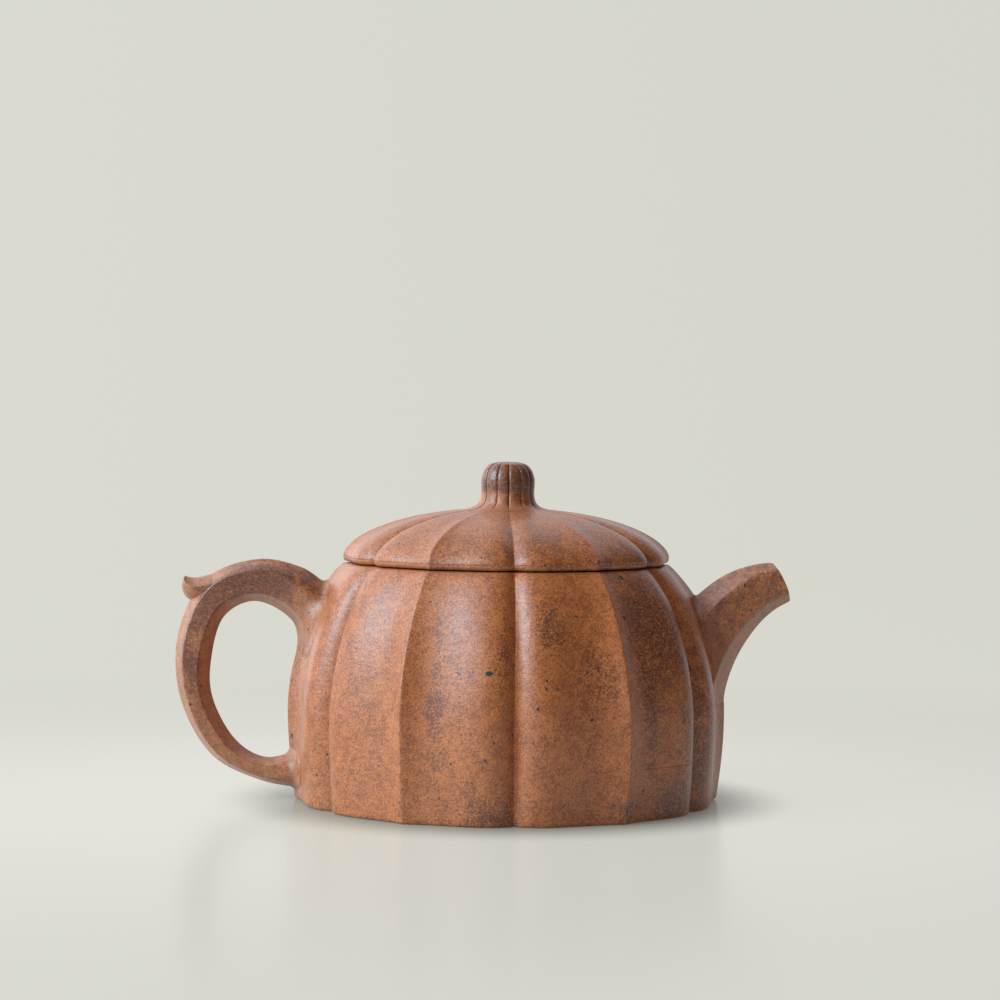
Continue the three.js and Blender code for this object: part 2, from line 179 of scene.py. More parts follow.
def bezier(points, along):
    a, b, c, d = (np.array(point, float) for point in points)
    t = np.asarray(along, float)[..., None]
    return (1 - t) ** 3 * a + 3 * (1 - t) ** 2 * t * b + 3 * (1 - t) * t ** 2 * c + t ** 3 * d


def spline(points, along):
    """A uniform Catmull-Rom curve through points."""
    p = np.array(points, float)
    last = len(p) - 1
    place = np.clip(np.asarray(along, float) * last, 0, last - 1e-9)
    i = place.astype(int)
    w = (place - i)[..., None]
    before, start = p[np.maximum(i - 1, 0)], p[i]
    end, after = p[np.minimum(i + 1, last)], p[np.minimum(i + 2, last)]
    v0, v1 = (end - before) / 2, (after - start) / 2
    return ((2 * start - 2 * end + v0 + v1) * w ** 3 + (-3 * start + 3 * end - 2 * v0 - v1) * w ** 2
            + v0 * w + start)


def quarter_round(radius, steps):
    """Steps round a softened edge, as (distance from the face, inset from the side)."""
    turn = np.linspace(0, math.pi / 2, steps + 1)
    return radius * (1 - np.cos(turn)), radius * (1 - np.sin(turn))


def smooth(value, low, high):
    t = np.clip((value - low) / (high - low), 0, 1)
    return t * t * (3 - 2 * t)


# ---- petals --------------------------------------------------------------------------------------

def crowded(steps):
    """Places from 0 up to just below 1, crowded at both ends."""
    even = np.arange(steps) / steps
    return even - EDGE_CROWDING * np.sin(2 * math.pi * even) / (2 * math.pi)


def petal_columns():
    """Angle and place of each column: place runs from 0 at a groove to 1 at a ridge."""
    half = math.pi / PETALS
    rising = crowded(STEPS_PER_HALF_PETAL)
    falling = 1 - rising
    start = np.arange(PETALS)[:, None] * 2 * half
    angle = np.hstack([start + rising * half, start + (1 + rising) * half])
    return angle.ravel(), np.tile(np.concatenate([rising, falling]), PETALS)


COLUMN_ANGLE, COLUMN_PLACE = petal_columns()


def place_at(angle):
    turns = angle / (2 * math.pi / PETALS)
    return np.minimum(1, np.abs(turns - np.round(turns)) * 2)


def petal_section(place, flank):
    """Share of the groove's depth: a narrow groove, a round lobe, then a hollow flank up to a sharp ridge."""
    groove = (1 - np.hypot(place, GROOVE_SOFTNESS)) ** GROOVE_SHARPNESS
    peak = FLANK_BIAS / (FLANK_BIAS + 1)
    highest = peak ** FLANK_BIAS * (1 - peak)
    below_ridge = np.hypot(1 - place, RIDGE_SOFTNESS) - RIDGE_SOFTNESS
    return np.clip(groove, 0, 1) + flank * place ** FLANK_BIAS * below_ridge / highest


def around(radius, angle, height):
    """Points at a radius, angle and height, broadcast against each other."""
    radius, angle, height = np.broadcast_arrays(radius, angle, height)
    return np.stack([radius * np.sin(angle), -radius * np.cos(angle), height], -1)


# ---- body form -----------------------------------------------------------------------------------

RIDGE_LINE = np.vstack([
    bezier([(FOOT_RADIUS, 0), (FOOT_RADIUS + 1, 8), (BELLY_RADIUS, BELLY_HEIGHT - 8),
            (BELLY_RADIUS, BELLY_HEIGHT)], np.linspace(0, 1, 60)),
    bezier([(BELLY_RADIUS, BELLY_HEIGHT), (BELLY_RADIUS, BELLY_HEIGHT + 16.5),
            (RIM_RADIUS + 4.3, RIM_HEIGHT - 2.6), (RIM_RADIUS, RIM_HEIGHT)], np.linspace(0, 1, 120))[1:],
])


def ridge_radius(height):
    return np.interp(height, RIDGE_LINE[:, 1], RIDGE_LINE[:, 0])


def body_radius(place, height):
    share = np.clip(height / RIM_HEIGHT, 0, 1)
    swell = np.sin(math.pi * share)
    inward = FLUTE_FOOT - FLUTE_RIM_LOSS * share + FLUTE_BELLY_GAIN * swell
    return ridge_radius(height) - inward * petal_section(place, FLANK_FOOT + FLANK_BELLY_GAIN * swell)


def body_rows(heights, insets):
    """Rows of the body's form at these heights, each drawn in by its inset."""
    height = np.asarray(heights, float)[:, None]
    inset = np.asarray(insets, float)
    radius = body_radius(COLUMN_PLACE[None, :], height) - (inset if inset.ndim == 2 else inset[:, None])
    return around(radius, COLUMN_ANGLE[None, :], height)


def above_body(points):
    """How far points lie outside the body's surface, and the surface's outward direction there."""
    angle = np.arctan2(points[..., 0], -points[..., 1])
    height = np.clip(points[..., 2], 0, RIM_HEIGHT)
    place = place_at(angle)
    step = 0.05
    slope = (body_radius(place, height + step) - body_radius(place, height - step)) / (2 * step)
    fall = 1 / np.hypot(1, slope)
    outward = np.stack([np.sin(angle) * fall, -np.cos(angle) * fall, -slope * fall], -1)
    return (np.hypot(points[..., 0], points[..., 1]) - body_radius(place, height)) * fall, outward


def hand_shaped(points):
    """The slight sideways unevenness of a pot beaten and scraped by hand. Heights stay true."""
    x, y, z = points[..., 0], points[..., 1], points[..., 2]
    out = points.copy()
    out[..., 0] += SPOUT_SIDE_SWELL * smooth(x, 5, 50) * (1 - smooth(x, 58, 68)) * (1 - smooth(z, 50, 57))
    out[..., 0] += 0.10 * np.sin(x / 9.1 + y / 14.3 + z / 11.7 + 0.6) + 0.05 * np.sin(y / 4.3 - z / 5.9 + 2.1)
    out[..., 1] += 0.10 * np.sin(y / 8.3 - x / 12.9 + z / 13.1 + 1.9) + 0.05 * np.sin(x / 4.7 + z / 5.1 + 4.0)
    return out


# ---- meshes --------------------------------------------------------------------------------------

def grid_faces(rows, columns, loop):
    """Quads of a grid that closes round its columns, and round its rows too if it is a loop."""
    row = np.arange(rows if loop else rows - 1)[:, None]
    column = np.arange(columns)[None, :]
    after_row, after_column = (row + 1) % rows, (column + 1) % columns
    quads = [row * columns + column, row * columns + after_column,
             after_row * columns + after_column, after_row * columns + column]
    return np.stack(quads, -1).reshape(-1, 4).tolist()


def fan(rim, centre):
    return [(rim[i], rim[(i + 1) % len(rim)], centre) for i in range(len(rim))]


def skin_mesh(name, grid, loop):
    """A closed mesh from rows of points. A fan closes each end of rows that aren't a loop."""
    rows, columns = grid.shape[:2]
    points = grid.reshape(-1, 3)
    faces = grid_faces(rows, columns, loop)
    if not loop:
        points = np.vstack([points, grid[0].mean(0), grid[-1].mean(0)])
        count = rows * columns
        faces += fan(list(range(columns)), count) + fan(list(range(count - columns, count)), count + 1)
    mesh = bpy.data.meshes.new(name)
    mesh.from_pydata((points * MM).tolist(), [], faces)
    facing_out(mesh)
    return mesh


def facing_out(mesh):
    bm = bmesh.new()
    bm.from_mesh(mesh)
    bmesh.ops.dissolve_degenerate(bm, dist=1e-7, edges=bm.edges)
    bmesh.ops.recalc_face_normals(bm, faces=bm.faces)
    bm.to_mesh(mesh)
    bm.free()


def new_object(name, mesh):
    made = bpy.data.objects.new(name, mesh)
    bpy.context.scene.collection.objects.link(made)
    return made


def combine(piece, tools, operation):
    """Cuts or trims a piece with closed tools, which are then removed."""
    for tool in tools:
        modifier = piece.modifiers.new("combine", "BOOLEAN")
        modifier.operation = operation
        modifier.solver = "MANIFOLD"
        modifier.object = tool
    bpy.context.view_layer.update()
    evaluated = piece.evaluated_get(bpy.context.evaluated_depsgraph_get())
    made = bpy.data.meshes.new_from_object(evaluated)
    piece.modifiers.clear()
    old = piece.data
    piece.data = made
    bpy.data.meshes.remove(old)
    for tool in tools:
        bpy.data.objects.remove(tool)
    return piece


def finish_piece(piece, node, body, material, smoke_and_shade):
    """Marks, shapes and shades one piece, attaches it to its body and hides the CAD node it replaces.
    Its last argument gives 0 to 1 at each point: smoke, and on the lid and knob painted shade too.
    """
    mesh = piece.data
    count = len(mesh.vertices)
    points = np.zeros(count * 3, np.float32)
    mesh.vertices.foreach_get("co", points)
    points = points.reshape(-1, 3).astype(float) / MM
    layer = mesh.attributes.new("smoke_and_shade", "FLOAT", "POINT")
    layer.data.foreach_set("value", np.clip(smoke_and_shade(points), 0, 1).astype(np.float32))
    mesh.vertices.foreach_set("co", (hand_shaped(points) * MM).astype(np.float32).ravel())
    mesh.shade_smooth()
    mesh.set_sharp_from_angle(angle=math.radians(48))
    mesh.materials.clear()
    mesh.materials.append(material)
    mesh.update()
    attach(piece, body)
    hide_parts(node)


# ---- smoke marks and painted shade ---------------------------------------------------------------

# purple-brown clouds, most of them left by the kiln: angle in degrees, height, half widths of both, strength.
# The three at heights 3 and 4 darken a band along the foot.
CLOUDS = [
    (-21, 26, 2.5, 24, 0.5), (-3, 38, 4, 12, 0.5), (9, 46, 6, 8, 0.55), (23, 34, 6, 12, 0.45),
    (46, 44, 13, 15, 0.72), (-8, 3, 14, 6, 0.46), (31, 3, 8, 5, 0.46), (39, 32, 4, 30, 0.6),
    (62, 20, 16, 30, 0.5), (50, 4, 12, 7, 0.55),
    (120, 30, 26, 16, 0.6), (165, 14, 18, 12, 0.5), (-150, 40, 22, 14, 0.5), (-70, 12, 12, 8, 0.3),
]


def cloud_smoke(points):
    angle = np.degrees(np.arctan2(points[:, 0], -points[:, 1]))
    total = np.full(len(points), 0.12)
    for centre, height, wide, tall, strength in CLOUDS:
        away = (angle - centre + 180) % 360 - 180
        reach = (away / wide) ** 2 + ((points[:, 2] - height) / tall) ** 2
        total = np.maximum(total, strength * np.exp(-reach))
    return total


def lid_smoke_and_shade(points):
    """More smoke round the lid from the front groove to the back than on the handle's side: smoke and painted
    shade.
    """
    angle = np.arctan2(points[:, 0], -points[:, 1])
    # heaviest towards the spout's side, which the lamps on the left leave in shade: painted shade as well as
    # smoke
    side = 0.5 - 0.5 * np.cos(angle - math.radians(-115))
    return 0.04 + 0.32 * side * smooth(np.hypot(points[:, 0], points[:, 1]), 10, 28)


def knob_smoke_and_shade(points):
    # darker towards the spout's side, which the lamps on the left leave in shade: painted shade; the
    # darkening higher up is smoke
    side = 0.25 * smooth(points[:, 0], -6, 6)
    return smooth(points[:, 2], KNOB_BOTTOM + 0.5, KNOB_BOTTOM + 4) * 0.75 + side


def spout_smoke(points):
    return 0.22 + 0.22 * smooth(points[:, 2], 36, 54)


def handle_smoke(points):
    """Most of the smoke lies on the arch and on the upper part of the flat sides."""
    flat_side = smooth(np.abs(points[:, 1]), 3.2, 3.9)
    arch = smooth(points[:, 2], 46, 56) * smooth(points[:, 0], -76, -62)
    upper = smooth(points[:, 2], 10, 40) * (1 - smooth(points[:, 0], -62, -50))
    return 0.05 + 0.5 * flat_side * (0.25 + 0.75 * upper) + 0.32 * arch


def plain_smoke(points):
    return np.full(len(points), 0.25)


# ---- material ------------------------------------------------------------------------------------

class Tree:
    """The nodes of a material or a world, added and linked by name."""

    def __init__(self, owner):
        owner.use_nodes = True
        self.nodes = owner.node_tree.nodes
        self.links = owner.node_tree.links
        self.nodes.clear()

    def add(self, kind, settings=None, inputs=None):
        node = self.nodes.new(kind)
        for name, value in (settings or {}).items():
            setattr(node, name, value)
        for name, value in (inputs or {}).items():
            if isinstance(value, bpy.types.NodeSocket):
                self.links.new(value, node.inputs[name])
            else:
                node.inputs[name].default_value = value
        return node

    def place(self, stretch=(1, 1, 1)):
        """Millimetre coordinates that stay with the object, stretched along its axes."""
        coordinates = self.add("ShaderNodeTexCoord")
        scale = tuple(1 / (MM * share) for share in stretch)
        mapping = self.add("ShaderNodeMapping", None, {
            "Vector": coordinates.outputs["Object"], "Scale": scale})
        return mapping.outputs["Vector"]

    def noise(self, place, size, detail=2.0, roughness=0.5, distortion=0.0):
        node = self.add("ShaderNodeTexNoise", None, {
            "Vector": place, "Scale": 1 / size, "Detail": detail, "Roughness": roughness,
            "Distortion": distortion})
        return node.outputs["Fac"]

    def ramp(self, value, low, high, start=0.0, end=1.0):
        node = self.add("ShaderNodeMapRange", {"interpolation_type": "SMOOTHSTEP"}, {
            "Value": value, "From Min": low, "From Max": high, "To Min": start, "To Max": end})
        return node.outputs["Result"]

    def cells(self, place, size):
        return self.add("ShaderNodeTexVoronoi", {"feature": "F1"}, {"Vector": place, "Scale": 1 / size})

    def chance(self, cells, channel):
        """A random number for each cell."""
        parts = self.add("ShaderNodeSeparateColor", None, {"Color": cells.outputs["Color"]})
        return parts.outputs[channel]

    def blend(self, first, first_share, second, second_share):
        return self.math("ADD", self.math("MULTIPLY", first, first_share),
                         self.math("MULTIPLY", second, second_share))

    def mix(self, share, first, second):
        node = self.add("ShaderNodeMix", {"data_type": "RGBA", "blend_type": "MIX"})
        kinds = ("VALUE", "RGBA")
        for name, value in (("Factor", share), ("A", first), ("B", second)):
            socket = next(s for s in node.inputs if s.name == name and s.type in kinds and s.enabled)
            if isinstance(value, bpy.types.NodeSocket):
                self.links.new(value, socket)
            else:
                socket.default_value = value
        return next(s for s in node.outputs if s.enabled)

    def math(self, operation, first, second):
        node = self.add("ShaderNodeMath", {"operation": operation})
        for socket, value in zip(node.inputs, (first, second)):
            if isinstance(value, bpy.types.NodeSocket):
                self.links.new(value, socket)
            else:
                socket.default_value = value
        return node.outputs[0]


def colour(red, green, blue):
    return (red, green, blue, 1.0)


def specks(tree, place, spacing, radius):
    """Iron specks: 1 inside a speck and 0 outside it, with an uneven size and outline."""
    wobble = tree.noise(place, 0.5, 1.0)
    cells = tree.cells(place, spacing)
    size = tree.ramp(tree.chance(cells, "Red"), 0.35, 1.0, 0.0, radius / spacing)
    reach = tree.math("MULTIPLY", size, tree.ramp(wobble, 0.3, 0.7, 0.6, 1.4))
    inside = tree.math("SUBTRACT", reach, cells.outputs["Distance"])
    return tree.ramp(inside, -0.01, 0.02)


def lone_speck(tree, place, centre, radius):
    """One larger speck at a place on the pot."""
    centre = tuple(at / share for at, share in zip(centre, SPECK_STRETCH))
    away = tree.add("ShaderNodeVectorMath", {"operation": "DISTANCE"}, {
        0: tree.place(SPECK_STRETCH), 1: centre})
    wobble = tree.math("MULTIPLY", tree.noise(place, 0.9, 2.0), radius)
    return tree.ramp(tree.math("SUBTRACT", away.outputs["Value"], wobble), radius * 0.6, radius * 0.3)


# sizes of the clay's patterns
SAND_SIZE = 0.29
PIT_SIZE = 0.36
COARSE_SIZE = 0.8
MOTTLE_SIZE = 3.0
CLOUD_SIZE = 9.0
DENT_SIZE = 5.0
DRAWN_UP = (1, 1, 2.4)  # the clouds and dents are taller than they are wide
COMBED = (2.2, 2.2, 1)  # and the fine tool marks wider than they are tall

FINE_RELIEF = 0.07
DENT_RELIEF = 0.5

# spacing and radius of the iron specks
LARGE_SPECKS = (6.5, 0.62)
SMALL_SPECKS = (2.4, 0.32)
SPECK_ANGLE = math.radians(-7)
SPECK_HEIGHT = 35.5
LONE_SPECK = tuple(around(body_radius(place_at(SPECK_ANGLE), SPECK_HEIGHT), SPECK_ANGLE, SPECK_HEIGHT))
LONE_SPECK_RADIUS = 0.66
SPECK_STRETCH = (1.5, 1.0, 0.85)

FAINT_PURPLE = colour(0.150, 0.060, 0.044)
DEEP_PURPLE = colour(0.098, 0.037, 0.023)
RED_PURPLE = colour(0.190, 0.067, 0.029)
BRIGHT_SAND = colour(0.56, 0.205, 0.058)
# the sand's colour in smoke, and on the lid and knob in painted shade
SMOKED_AND_SHADED_SAND = colour(0.46, 0.143, 0.036)
DARK_SAND = colour(0.105, 0.045, 0.030)
IRON = colour(0.022, 0.022, 0.026)
FINE_IRON = colour(0.035, 0.028, 0.028)
SHINE_TINT = colour(0.60, 0.86, 1.0)
SHEEN_TINT = colour(0.9, 0.95, 1.0)


def smoke_and_shade_clouds(tree, mark, drawn, mottle, coarse):
    """Ragged clouds where the piece is marked, and a few faint ones elsewhere; on the lid and knob partly
    painted shade.
    """
    cloud = tree.noise(drawn, CLOUD_SIZE, 4.0, 0.58, 0.6)
    patchy = tree.math("ADD", tree.blend(cloud, 0.75, mottle, 0.5), tree.math("MULTIPLY", coarse, 0.85))
    smoke_and_shade = tree.ramp(tree.math("ADD", tree.math("MULTIPLY", mark, 0.62), patchy), 1.18, 1.40)
    return tree.math("MULTIPLY", smoke_and_shade, tree.ramp(mark, 0.0, 0.5, 0.22, 1.0))


def sandy(tree, place, tone, smoke_and_shade, contrast):
    """Bright and dark grains of sand over a tone."""
    sand = tree.chance(tree.cells(place, SAND_SIZE), "Green")
    bright = tree.mix(smoke_and_shade, BRIGHT_SAND, SMOKED_AND_SHADED_SAND)
    tone = tree.mix(tree.math("MULTIPLY", tree.ramp(sand, 0.58, 0.92), contrast), tone, bright)
    return tree.mix(tree.math("MULTIPLY", tree.ramp(sand, 0.40, 0.06), contrast), tone, DARK_SAND)


def specked(tree, place, tone):
    """Iron specks over a tone."""
    tone = tree.mix(specks(tree, place, *LARGE_SPECKS), tone, IRON)
    tone = tree.mix(specks(tree, place, *SMALL_SPECKS), tone, FINE_IRON)
    return tree.mix(lone_speck(tree, place, LONE_SPECK, LONE_SPECK_RADIUS), tone, IRON)


def worked_surface(tree, drawn, pitted, coarse):
    """The normal of a pitted, burnished surface with the marks of hands and tools."""
    fine = tree.add("ShaderNodeBump", None, {
        "Height": tree.blend(pitted, 0.6, coarse, 0.9), "Strength": 0.5, "Distance": FINE_RELIEF * MM})
    combed = tree.noise(tree.place(COMBED), COARSE_SIZE, 2.0)
    dents = tree.math("ADD", tree.noise(drawn, DENT_SIZE, 2.0), tree.math("MULTIPLY", combed, 0.5))
    burnish = tree.add("ShaderNodeBump", None, {
        "Height": dents, "Strength": 0.35, "Distance": DENT_RELIEF * MM, "Normal": fine.outputs["Normal"]})
    return burnish.outputs["Normal"]


def clay(name, warm, rust, grain, sheen):
    """Unglazed clay: sandy orange grain, purple kiln clouds (on the lid and knob partly painted shade), iron
    specks and a soft satin burnish.

    grain is the contrast of the sand in clean and in smoked clay.
    """
    material = bpy.data.materials.new(name)
    tree = Tree(material)
    place = tree.place()
    drawn = tree.place(DRAWN_UP)
    pitted = tree.noise(place, PIT_SIZE, 2.0, 0.75)
    coarse = tree.noise(place, COARSE_SIZE, 3.0, 0.75)
    mottle = tree.noise(place, MOTTLE_SIZE, 4.0, 0.62, 0.4)
    # mark: the smoke on each piece, and on the lid and knob also painted shade on the side away from the
    # lamps
    mark = tree.add("ShaderNodeAttribute", {"attribute_name": "smoke_and_shade"}).outputs["Fac"]
    smoke_and_shade = smoke_and_shade_clouds(tree, mark, drawn, mottle, coarse)

    body = tree.mix(tree.ramp(mottle, 0.36, 0.66), warm, rust)
    deep = tree.mix(tree.ramp(mark, 0.3, 0.75), FAINT_PURPLE, DEEP_PURPLE)
    tone = tree.mix(smoke_and_shade, body, tree.mix(tree.ramp(coarse, 0.36, 0.62), deep, RED_PURPLE))
    tone = specked(tree, place, sandy(tree, place, tone, smoke_and_shade, tree.ramp(mark, 0.1, 0.6, *grain)))

    polish = tree.math("ADD", pitted, tree.math("MULTIPLY", smoke_and_shade, -0.4))
    shader = tree.add("ShaderNodeBsdfPrincipled", None, {
        "Base Color": tone, "Normal": worked_surface(tree, drawn, pitted, coarse),
        "Roughness": tree.ramp(polish, 0.0, 0.8, 0.30, 0.46),
        "Specular IOR Level": 0.78, "Specular Tint": SHINE_TINT,
        "Sheen Weight": sheen, "Sheen Roughness": 0.45, "Sheen Tint": SHEEN_TINT})
    output = tree.add("ShaderNodeOutputMaterial")
    tree.links.new(shader.outputs["BSDF"], output.inputs["Surface"])
    return material


RED = clay("red_clay", colour(0.45, 0.143, 0.040), colour(0.32, 0.090, 0.023), (0.60, 0.95), 0.05)
# a darker copy of the red clay for the lid: painted shade that tones down the lamps' light on its top
SHADED_LID_RED = clay("lid_clay_painted_shade", colour(0.42, 0.138, 0.040), colour(0.31, 0.091, 0.026), (0.60, 0.95), 0.03)
DARK = clay("dark_clay", colour(0.42, 0.176, 0.079), colour(0.31, 0.118, 0.053), (0.40, 0.50), 0.17)
BROWN = clay("brown_clay", colour(0.40, 0.146, 0.056), colour(0.29, 0.097, 0.038), (0.40, 0.60), 0.06)


# ---- cutters -------------------------------------------------------------------------------------

POUR_HOLE = (float(ridge_radius(POUR_HOLE_HEIGHT)) - WALL, 0, POUR_HOLE_HEIGHT)


def body_blank(name, inset):
    """The body's outer form as one closed solid, drawn in by an inset, for trimming what meets it."""
    heights = np.linspace(-6, RIM_HEIGHT + 6, 90)
    return new_object(name, skin_mesh(name, body_rows(heights, np.full(len(heights), inset)), False))


def rod(name, centre, direction, radius, low, high):
    """A closed round cutter along a direction, from low to high beyond a centre."""
    axis = np.array(direction, float) / np.linalg.norm(direction)
    side = np.cross(axis, (0.31, 0.17, 0.94))
    side /= np.linalg.norm(side)
    turn = np.arange(48)[:, None] * 2 * math.pi / 48
    ring = radius * (np.cos(turn) * side + np.sin(turn) * np.cross(axis, side))
    rows = [np.array(centre) + axis * at + ring for at in np.linspace(low, high, 4)]
    return new_object(name, skin_mesh(name, np.array(rows), False))


def ball(name, centre, radius):
    tilt = np.linspace(0.03, math.pi - 0.03, 40)[:, None]
    turn = np.arange(72)[None, :] * 2 * math.pi / 72
    tilt, turn = np.broadcast_arrays(tilt, turn)
    unit = np.stack([np.cos(tilt), np.sin(tilt) * np.cos(turn), np.sin(tilt) * np.sin(turn)], -1)
    return new_object(name, skin_mesh(name, np.array(centre) + radius * unit, False))


# ---- body pieces ---------------------------------------------------------------------------------

def body_wall():
    """A closed skin: up the outside, over the rim and down the inside, with the pour hole cut in it."""
    lift, inset = quarter_round(FOOT_ROUNDING, 6)
    drop, rim_inset = quarter_round(RIM_ROUNDING, 4)
    side = np.linspace(FOOT_ROUNDING, RIM_HEIGHT - RIM_ROUNDING, 76)[1:-1]
    side = np.sort(np.append(side, SEAM_HEIGHT + np.array([-1, 0, 1]) * SEAM_HALF_WIDTH))
    inner = np.linspace(RIM_HEIGHT, 0, 30)
    heights = np.concatenate([lift, side, RIM_HEIGHT - drop[::-1], [RIM_HEIGHT], inner, [0]])
    insets = np.concatenate([inset, 0 * side, rim_inset[::-1], [WALL / 2], 0 * inner + WALL, [WALL / 2]])
    away = np.degrees(COLUMN_ANGLE) - SEAM_MIDDLE
    seam = (heights == SEAM_HEIGHT)[:, None] * smooth(np.abs(away), SEAM_REACH, SEAM_REACH - SEAM_FADE)
    rows = body_rows(heights, insets[:, None] + SEAM_DEPTH * seam)
    wall = new_object("body_wall_skin", skin_mesh("body_wall_skin", rows, True))
    hole = rod("pour_hole", POUR_HOLE, (1, 0, 0), POUR_HOLE_RADIUS, -2 * WALL, 2 * WALL)
    return combine(wall, [hole], "DIFFERENCE")


def base_plate():
    """The base disc: rows run from the middle of its top, over its edge, to the middle of its underside."""
    out = np.linspace(0.02, 1, 16)
    share = np.concatenate([out, out[::-1]])
    height = np.where(np.arange(32) < 16, BASE_TOP, 0.0)
    edge = body_rows(height, np.full(32, WALL))
    grid = edge * np.stack([share, share, np.ones(32)], -1)[:, None, :]
    return new_object("base_plate_skin", skin_mesh("base_plate_skin", grid, False))


def mouth_ring():
    """The ring let into the top of the wall, petalled outside and round inside."""
    drop, inset = quarter_round(RIM_ROUNDING, 4)
    across = np.linspace(0, 1, 5)[:-1]
    flat = 0 * across
    share = np.concatenate([across, np.ones(10), across[::-1]])
    mouth = MOUTH_RADIUS + np.concatenate([flat, inset, inset[::-1], flat])
    heights = np.concatenate([flat + RIM_HEIGHT, RIM_HEIGHT - drop,
                              RING_BOTTOM + drop[::-1], flat + RING_BOTTOM])
    edge = body_radius(COLUMN_PLACE[None, :], heights[:, None]) - WALL
    radius = edge + (mouth[:, None] - edge) * share[:, None]
    grid = around(radius, COLUMN_ANGLE[None, :], heights[:, None])
    return new_object("mouth_ring_skin", skin_mesh("mouth_ring_skin", grid, True))


def strainer():
    """A pierced clay ball behind the pour hole, on the inside of the wall."""
    shell = ball("strainer_skin", POUR_HOLE, STRAINER_RADIUS)
    tools = [ball("strainer_hollow", POUR_HOLE, STRAINER_RADIUS - STRAINER_WALL)]
    for count, tilt in STRAINER_RINGS:
        for i in range(count):
            lean, turn = math.radians(tilt), 2 * math.pi * i / count
            way = (-math.cos(lean), math.sin(lean) * math.cos(turn), math.sin(lean) * math.sin(turn))
            tools.append(rod("strainer_hole", POUR_HOLE, way, STRAINER_HOLE_RADIUS, 3, STRAINER_RADIUS + 2))
    combine(shell, tools, "DIFFERENCE")
    return combine(shell, [body_blank("inside", WALL)], "INTERSECT")


# ---- spout and handle ----------------------------------------------------------------------------

def six_corners(half_width, half_height, shoulders):
    """Corners of the six-sided section as (across, up): ridge, shoulders, keel, shoulders."""
    high, low = (np.broadcast_to(share, half_height.shape) for share in shoulders)
    whole = np.ones(half_height.shape)
    across = np.array([0, 1, 1, 0, -1, -1])
    up = np.stack([whole, high, low, -whole, low, high], -1)
    return np.stack([half_width[:, None] * across, half_height[:, None] * up], -1)


def eased(corners, reach):
    """Rings round many-cornered sections, each corner eased over its reach to either side."""
    def towards(other):
        gap = other - corners
        length = np.maximum(np.linalg.norm(gap, axis=-1), 1e-6)
        return corners + gap * np.minimum(reach / length, 0.45)[..., None]

    start, end = towards(np.roll(corners, 1, axis=1)), towards(np.roll(corners, -1, axis=1))
    turn = np.linspace(0, 1, CORNER_STEPS)[:, None]
    bend = ((1 - turn) ** 2 * start[:, :, None] + 2 * turn * (1 - turn) * corners[:, :, None]
            + turn ** 2 * end[:, :, None])
    share = np.array(FLAT_SHARES)[:, None]
    flat = (1 - share) * end[:, :, None] + share * np.roll(start, -1, axis=1)[:, :, None]
    return np.concatenate([bend, flat], axis=2).reshape(len(corners), -1, 2)


def section_rows(outer, inner, half_width, shoulders, reach, inset):
    """Rings of 3-D points between two edges in the plane y = 0, drawn in by an inset."""
    middle, half = (outer + inner) / 2, (outer - inner) / 2
    height = np.linalg.norm(half, axis=1)
    up = half / height[:, None]
    ring = eased(six_corners(half_width - inset, height - inset, shoulders), reach)
    flat = middle[:, None] + up[:, None] * ring[..., 1:]
    return np.stack([flat[..., 0], ring[..., 0], flat[..., 1]], -1), ring[..., 1] / height[:, None]


def fillet(rows, reaches):
    """Spreads the rows of a luted piece where they come near the body, into a hollow fillet."""
    above, beside, below = reaches
    height, outward = above_body(rows)
    away = rows - rows.mean(axis=1, keepdims=True)
    away -= outward * (away * outward).sum(-1, keepdims=True)
    away /= np.maximum(np.linalg.norm(away, axis=-1, keepdims=True), 1e-6)
    up = away[..., 2]
    reach = above * np.clip(up, 0, 1) ** 2 + below * np.clip(-up, 0, 1) ** 2 + beside * (1 - up ** 2)
    low = reach - np.clip(height, 0, reach)
    spread = reach - np.sqrt(np.clip(reach ** 2 - low ** 2, 0, None))
    return rows + away * spread[..., None]


def spout():
    """A closed skin: along the outside from the root to the lip, over the lip, and back down the bore."""
    tip_wall, root_wall = SPOUT_WALLS
    depth, edge = quarter_round(LIP_ROUNDING, 4)
    outside, bore = np.linspace(1, 0.03, SPOUT_ROWS), np.linspace(0.04, 1, SPOUT_ROWS // 2)
    along = np.concatenate([outside, np.zeros(2 * len(depth)), bore])
    inset = np.concatenate([0 * outside, edge[::-1], tip_wall - edge,
                            tip_wall + (root_wall - tip_wall) * bore])
    back = np.concatenate([0 * outside, depth[::-1], depth, 0 * bore])

    outer, inner = bezier(SPOUT_UPPER, along), bezier(SPOUT_LOWER, along)
    tip_width, root_width = SPOUT_HALF_WIDTHS
    width = tip_width + (root_width - tip_width) * along ** 1.2
    tip_ease, root_ease = SPOUT_EASING
    reach = (tip_ease + (root_ease - tip_ease) * smooth(along, 0, 0.55))[:, None]
    rows, up = section_rows(outer, inner, width, SPOUT_SHOULDERS, reach, inset)

    tip = np.array(SPOUT_UPPER[:2] + SPOUT_LOWER[:2], float)
    inwards = (tip[1] - tip[0]) + (tip[3] - tip[2])
    inwards /= np.linalg.norm(inwards)
    push = back[:, None] - SPOUT_TIP_BULGE * (1 - up ** 2) * (along == 0)[:, None]
    rows = rows + push[..., None] * np.array([inwards[0], 0, inwards[1]])
    rows[:SPOUT_ROWS] = fillet(rows[:SPOUT_ROWS], SPOUT_FILLET)
    made = new_object("spout_skin", skin_mesh("spout_skin", rows, True))
    return combine(made, [body_blank("inside", BURIED)], "DIFFERENCE")


